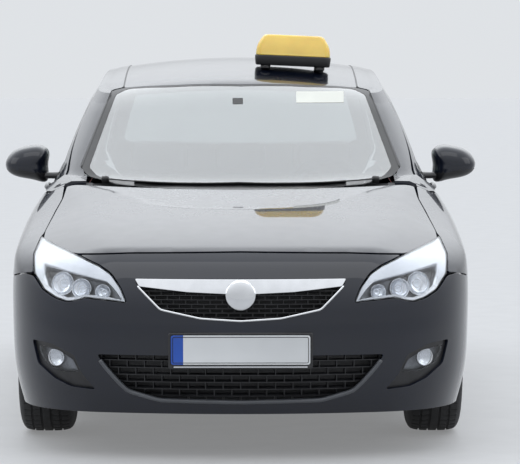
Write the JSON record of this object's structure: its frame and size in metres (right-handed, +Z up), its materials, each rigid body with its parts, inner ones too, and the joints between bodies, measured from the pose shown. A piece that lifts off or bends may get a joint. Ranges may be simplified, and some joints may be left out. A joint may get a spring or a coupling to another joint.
{
  "type": "hatchback taxi",
  "caption": "Compact family hatchback used as a taxi: hollow cabin with opening doors, bonnet and tailgate, rolling wheels, linked steering and a blank sign on its roof.",
  "frame": {"origin": "on the ground under the middle of the car", "axes": "+Z up, the nose faces -Y, +X is the car's left side"},
  "size_m": [2.026, 4.4264, 1.5985],
  "materials": {
    "body_paint": "deep gloss paint",
    "glazing": "clear",
    "lamp_glass": "clear",
    "lamp_silver": "bright",
    "lamp_red": "gloss",
    "chrome_trim": "polished",
    "black_plastic": "fine grain",
    "tyre_rubber": "matt",
    "alloy": "satin",
    "chassis_steel": "satin",
    "cast_metal": "raw",
    "seat_cloth": "woven",
    "sign_yellow": "satin gloss",
    "sign_black": "satin",
    "plate_white": "satin",
    "pipe_steel": "brushed"
  },
  "bodies": {
    "car_body": {"front_wing_left": "body_paint", "front_wing_right": "body_paint", "side_frame_left": "body_paint", "side_frame_right": "body_paint", "rear_quarter_left": "body_paint", "rear_quarter_right": "body_paint", "arch_liners": "black_plastic", "inner_wings": "body_paint", "headlamps": "lamp_silver", "headlamp_lenses": "lamp_glass", "fog_lamps": "lamp_silver", "tail_lamps": "lamp_red", "front_seats": "seat_cloth", "rear_seat": "seat_cloth", "front_bumper": "body_paint", "rear_bumper": "body_paint", "roof_panel": "body_paint", "windscreen": "glazing", "cowl_tray": "black_plastic", "grille_bar": "chrome_trim", "floor_pan": "chassis_steel", "bulkhead": "body_paint", "exhaust": "pipe_steel", "engine": "cast_metal", "radiator": "black_plastic", "fuel_tank": "black_plastic", "front_subframe": "chassis_steel", "rear_axle": "chassis_steel", "dashboard": "black_plastic", "sign_base": "sign_black", "sign_box": "sign_yellow", "number_plates": "plate_white", "grilles": "black_plastic", "wipers": "black_plastic"},
    "front_door_left_body": {"front_door_left": "body_paint", "front_door_glass_left": "glazing", "door_mirror_left": "body_paint"},
    "rear_door_left_body": {"rear_door_left": "body_paint", "rear_door_glass_left": "glazing"},
    "front_wheel_left": {"front_rim_left": "alloy", "front_tyre_left": "tyre_rubber"},
    "rear_wheel_left": {"rear_rim_left": "alloy", "rear_tyre_left": "tyre_rubber"},
    "steered_hub_left": {"knuckle_left": "cast_metal"},
    "front_door_right_body": {"front_door_right": "body_paint", "front_door_glass_right": "glazing", "door_mirror_right": "body_paint"},
    "rear_door_right_body": {"rear_door_right": "body_paint", "rear_door_glass_right": "glazing"},
    "front_wheel_right": {"front_rim_right": "alloy", "front_tyre_right": "tyre_rubber"},
    "rear_wheel_right": {"rear_rim_right": "alloy", "rear_tyre_right": "tyre_rubber"},
    "steered_hub_right": {"knuckle_right": "cast_metal"},
    "bonnet_body": {"bonnet": "body_paint"},
    "tailgate_body": {"tailgate": "body_paint", "tailgate_glass": "glazing"},
    "hand_wheel": {"steering_wheel": "black_plastic"}
  },
  "joints": [
    {"name": "front_door_left_hinge", "type": "hinge", "parent": "car_body", "child": "front_door_left_body", "pos_m": [0.895, -0.832, 0.6], "axis": [0, 0, -1], "range_deg": [0, 65]},
    {"name": "rear_door_left_hinge", "type": "hinge", "parent": "car_body", "child": "rear_door_left_body", "pos_m": [0.8985, 0.285, 0.6], "axis": [0, 0, -1], "range_deg": [0, 65]},
    {"name": "steering_left", "type": "hinge", "parent": "car_body", "child": "steered_hub_left", "pos_m": [0.722, -1.28, 0.19], "axis": [-0.2567, 0, 0.9665], "range_deg": [-32, 32]},
    {"name": "front_wheel_left_spin", "type": "hinge", "parent": "steered_hub_left", "child": "front_wheel_left", "pos_m": [0.772, -1.28, 0.323], "axis": [1, 0, 0], "continuous": true},
    {"name": "rear_wheel_left_spin", "type": "hinge", "parent": "car_body", "child": "rear_wheel_left", "pos_m": [0.779, 1.405, 0.323], "axis": [1, 0, 0], "continuous": true},
    {"name": "front_door_right_hinge", "type": "hinge", "parent": "car_body", "child": "front_door_right_body", "pos_m": [-0.895, -0.832, 0.6], "axis": [0, 0, 1], "range_deg": [0, 65]},
    {"name": "rear_door_right_hinge", "type": "hinge", "parent": "car_body", "child": "rear_door_right_body", "pos_m": [-0.8985, 0.285, 0.6], "axis": [0, 0, 1], "range_deg": [0, 65]},
    {"name": "steering_right", "type": "hinge", "parent": "car_body", "child": "steered_hub_right", "pos_m": [-0.722, -1.28, 0.19], "axis": [0.2567, 0, 0.9665], "range_deg": [-32, 32]},
    {"name": "front_wheel_right_spin", "type": "hinge", "parent": "steered_hub_right", "child": "front_wheel_right", "pos_m": [-0.772, -1.28, 0.323], "axis": [1, 0, 0], "continuous": true},
    {"name": "rear_wheel_right_spin", "type": "hinge", "parent": "car_body", "child": "rear_wheel_right", "pos_m": [-0.779, 1.405, 0.323], "axis": [1, 0, 0], "continuous": true},
    {"name": "bonnet_hinge", "type": "hinge", "parent": "car_body", "child": "bonnet_body", "pos_m": [0, -0.96, 0.93], "axis": [-1, 0, 0], "range_deg": [0, 50]},
    {"name": "tailgate_hinge", "type": "hinge", "parent": "car_body", "child": "tailgate_body", "pos_m": [0, 1.668, 1.4145], "axis": [1, 0, 0], "range_deg": [0, 80]},
    {"name": "hand_wheel_turn", "type": "hinge", "parent": "car_body", "child": "hand_wheel", "pos_m": [0.37, -0.44, 0.885], "axis": [0, 0.9135, 0.4067], "range_deg": [-480, 480]}
  ],
  "couplings": [
    {"joint": "steering_right", "follows": "steering_left", "ratio": 1},
    {"joint": "hand_wheel_turn", "follows": "steering_left", "ratio": 15}
  ]
}
